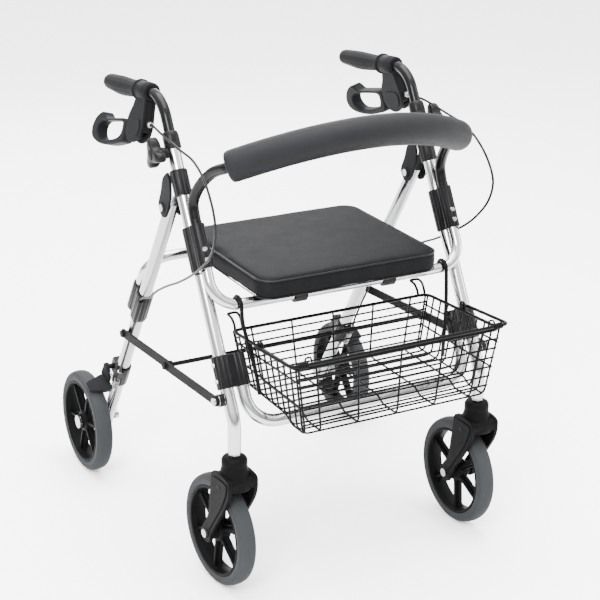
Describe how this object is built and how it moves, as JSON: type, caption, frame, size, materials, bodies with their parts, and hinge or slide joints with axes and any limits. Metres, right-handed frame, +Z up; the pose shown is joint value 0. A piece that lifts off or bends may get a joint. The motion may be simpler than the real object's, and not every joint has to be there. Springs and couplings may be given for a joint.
{
  "type": "rollator walker",
  "caption": "Folding walking frame on wheels with a padded seat, foam backrest, wire basket and loop brakes.",
  "frame": {"origin": "on the floor at the middle of the outer box", "axes": "+Z up, the walker faces -Y (its front casters and basket), +X to the right side seen from the front wheels' side"},
  "size_m": [0.623, 0.7878, 0.8271],
  "materials": {
    "bright_tube": "satin clear-anodised",
    "grey_tube": "satin anodised",
    "steel": "bright zinc plate",
    "bracket_plastic": "semi-gloss moulded",
    "lever_plastic": "moulded",
    "black_tube": "gloss powder coat",
    "strut_metal": "black powder coat",
    "grip_rubber": "matt",
    "tyre_rubber": "grey solid tyre",
    "wheel_plastic": "satin black",
    "cable_jacket": "smooth jacket",
    "foam": "soft charcoal foam sleeve",
    "vinyl": "black padded vinyl",
    "board_plastic": "moulded",
    "coated_wire": "black plastic-coated wire"
  },
  "bodies": {
    "front_frame": {"front_leg_left": "bright_tube", "front_leg_right": "bright_tube", "leg_collars": "bracket_plastic", "upper_brackets": "bracket_plastic", "middle_brackets": "bracket_plastic", "lower_brackets": "bracket_plastic", "seat_front_tube": "bright_tube", "lower_front_tube": "bright_tube", "frame_screws": "steel", "caster_stems": "steel", "pivot_bolts": "steel", "brake_cables_upper": "cable_jacket"},
    "rear_frame": {"rear_leg_left": "grey_tube", "rear_leg_right": "grey_tube", "rear_brackets": "bracket_plastic", "seat_rear_tube": "bright_tube", "brake_clamps": "bracket_plastic", "rear_axles": "steel", "brake_cables_lower": "cable_jacket"},
    "front_links": {"front_links": "strut_metal", "cross_rod": "strut_metal"},
    "rear_link_left": {"rear_link_left": "strut_metal"},
    "rear_link_right": {"rear_link_right": "strut_metal"},
    "caster_left": {"caster_fork_left": "wheel_plastic", "caster_axle_left": "steel"},
    "front_wheel_left": {"front_tyre_left": "tyre_rubber", "front_hub_left": "wheel_plastic"},
    "rear_wheel_left": {"rear_tyre_left": "tyre_rubber", "rear_hub_left": "wheel_plastic", "rear_hub_cap_left": "steel"},
    "handle_left": {"handlebar_left": "black_tube", "grip_left": "grip_rubber", "brake_housing_left": "bracket_plastic"},
    "brake_lever_left": {"brake_lever_left": "lever_plastic"},
    "brake_shoe_left": {"brake_shoe_left": "lever_plastic"},
    "height_knob_left": {"height_knob_left": "bracket_plastic"},
    "backrest_button_left": {"backrest_button_left": "steel"},
    "caster_right": {"caster_fork_right": "wheel_plastic", "caster_axle_right": "steel"},
    "front_wheel_right": {"front_tyre_right": "tyre_rubber", "front_hub_right": "wheel_plastic"},
    "rear_wheel_right": {"rear_tyre_right": "tyre_rubber", "rear_hub_right": "wheel_plastic", "rear_hub_cap_right": "steel"},
    "handle_right": {"handlebar_right": "black_tube", "grip_right": "grip_rubber", "brake_housing_right": "bracket_plastic"},
    "brake_lever_right": {"brake_lever_right": "lever_plastic"},
    "brake_shoe_right": {"brake_shoe_right": "lever_plastic"},
    "height_knob_right": {"height_knob_right": "bracket_plastic"},
    "backrest_button_right": {"backrest_button_right": "steel"},
    "backrest": {"backrest_tube": "black_tube", "backrest_foam": "foam"},
    "seat": {"seat_cushion": "vinyl", "seat_board": "board_plastic"},
    "basket": {"basket_floor": "coated_wire", "basket_sides": "coated_wire", "basket_ends": "coated_wire", "basket_hangers": "coated_wire"},
    "basket_bail": {"basket_bail": "coated_wire"}
  },
  "joints": [
    {"name": "fold", "type": "hinge", "parent": "front_frame", "child": "rear_frame", "pos_m": [0, -0.024, 0.628], "axis": [-1, 0, 0], "range_deg": [0, 36], "deforming": ["brake_cables_lower"]},
    {"name": "front_strut_pivot", "type": "hinge", "parent": "front_frame", "child": "front_links", "pos_m": [0, -0.245, 0.357], "axis": [1, 0, 0], "range_deg": [0, 41.77]},
    {"name": "rear_strut_pivot_left", "type": "hinge", "parent": "front_links", "child": "rear_link_left", "pos_m": [-0.266, -0.04524, 0.3443], "axis": [-1, 0, 0], "range_deg": [0, 118.43]},
    {"name": "rear_strut_pivot_right", "type": "hinge", "parent": "front_links", "child": "rear_link_right", "pos_m": [0.266, -0.04524, 0.3443], "axis": [-1, 0, 0], "range_deg": [0, 118.43]},
    {"name": "caster_swivel_left", "type": "hinge", "parent": "front_frame", "child": "caster_left", "pos_m": [-0.246, -0.265, 0.24], "axis": [0, 0, 1], "continuous": true},
    {"name": "front_wheel_spin_left", "type": "hinge", "parent": "caster_left", "child": "front_wheel_left", "pos_m": [-0.24928, -0.21811, 0.1], "axis": [0.9976, 0.0698, 0], "continuous": true},
    {"name": "rear_wheel_spin_left", "type": "hinge", "parent": "rear_frame", "child": "rear_wheel_left", "pos_m": [-0.291, 0.294, 0.1], "axis": [1, 0, 0], "continuous": true},
    {"name": "handle_height_left", "type": "slide", "parent": "front_frame", "child": "handle_left", "axis": [0, 0.4886, 0.8725], "range_m": [0, 0.15], "deforming": ["brake_cables_upper"]},
    {"name": "brake_squeeze_left", "type": "hinge", "parent": "handle_left", "child": "brake_lever_left", "pos_m": [-0.26515, 0.06575, 0.73727], "axis": [0.9659, -0.0271, -0.2574], "range_deg": [0, 12], "stiffness_Nm_per_rad": 2, "springref_deg": -11.46},
    {"name": "brake_shoe_pivot_left", "type": "hinge", "parent": "rear_frame", "child": "brake_shoe_left", "pos_m": [-0.267, 0.24146, 0.22988], "axis": [1, 0, 0], "range_deg": [0, 4]},
    {"name": "height_knob_turn_left", "type": "hinge", "parent": "front_frame", "child": "height_knob_left", "pos_m": [-0.266, -0.0373, 0.72758], "axis": [1, 0, 0], "continuous": true},
    {"name": "caster_swivel_right", "type": "hinge", "parent": "front_frame", "child": "caster_right", "pos_m": [0.246, -0.265, 0.24], "axis": [0, 0, 1], "continuous": true},
    {"name": "front_wheel_spin_right", "type": "hinge", "parent": "caster_right", "child": "front_wheel_right", "pos_m": [0.246, -0.218, 0.1], "axis": [1, 0, 0], "continuous": true},
    {"name": "rear_wheel_spin_right", "type": "hinge", "parent": "rear_frame", "child": "rear_wheel_right", "pos_m": [0.291, 0.294, 0.1], "axis": [1, 0, 0], "continuous": true},
    {"name": "handle_height_right", "type": "slide", "parent": "front_frame", "child": "handle_right", "axis": [0, 0.4886, 0.8725], "range_m": [0, 0.15], "deforming": ["brake_cables_upper"]},
    {"name": "brake_squeeze_right", "type": "hinge", "parent": "handle_right", "child": "brake_lever_right", "pos_m": [0.26515, 0.06575, 0.73727], "axis": [0.9659, 0.0271, 0.2574], "range_deg": [0, 12], "stiffness_Nm_per_rad": 2, "springref_deg": -11.46},
    {"name": "brake_shoe_pivot_right", "type": "hinge", "parent": "rear_frame", "child": "brake_shoe_right", "pos_m": [0.267, 0.24146, 0.22988], "axis": [1, 0, 0], "range_deg": [0, 4]},
    {"name": "height_knob_turn_right", "type": "hinge", "parent": "front_frame", "child": "height_knob_right", "pos_m": [0.266, -0.0373, 0.72758], "axis": [1, 0, 0], "continuous": true},
    {"name": "backrest_lift", "type": "slide", "parent": "front_frame", "child": "backrest", "axis": [0, 0.4886, 0.8725], "range_m": [0, 0.045]},
    {"name": "backrest_button_press_left", "type": "slide", "parent": "backrest", "child": "backrest_button_left", "axis": [0, 0.8725, -0.4886], "range_m": [0, 0.005], "stiffness_N_per_m": 400, "springref_m": -0.001},
    {"name": "backrest_button_press_right", "type": "slide", "parent": "backrest", "child": "backrest_button_right", "axis": [0, 0.8725, -0.4886], "range_m": [0, 0.005], "stiffness_N_per_m": 400, "springref_m": -0.001},
    {"name": "seat_flip", "type": "hinge", "parent": "front_frame", "child": "seat", "pos_m": [0, -0.19341, 0.5], "axis": [1, 0, 0], "range_deg": [0, 75]},
    {"name": "basket_lift", "type": "slide", "parent": "front_frame", "child": "basket", "axis": [0, 0, 1], "range_m": [0, 0.04]},
    {"name": "basket_bail_swing", "type": "hinge", "parent": "basket", "child": "basket_bail", "pos_m": [0, -0.268, 0.452], "axis": [-1, 0, 0], "range_deg": [0, 100]}
  ],
  "couplings": [
    {"joint": "front_strut_pivot", "follows": "fold", "ratio": 1.1601},
    {"joint": "rear_strut_pivot_left", "follows": "fold", "ratio": 3.2894},
    {"joint": "brake_shoe_pivot_left", "follows": "brake_squeeze_left", "ratio": 0.3333},
    {"joint": "rear_strut_pivot_right", "follows": "fold", "ratio": 3.2894},
    {"joint": "brake_shoe_pivot_right", "follows": "brake_squeeze_right", "ratio": 0.3333}
  ]
}
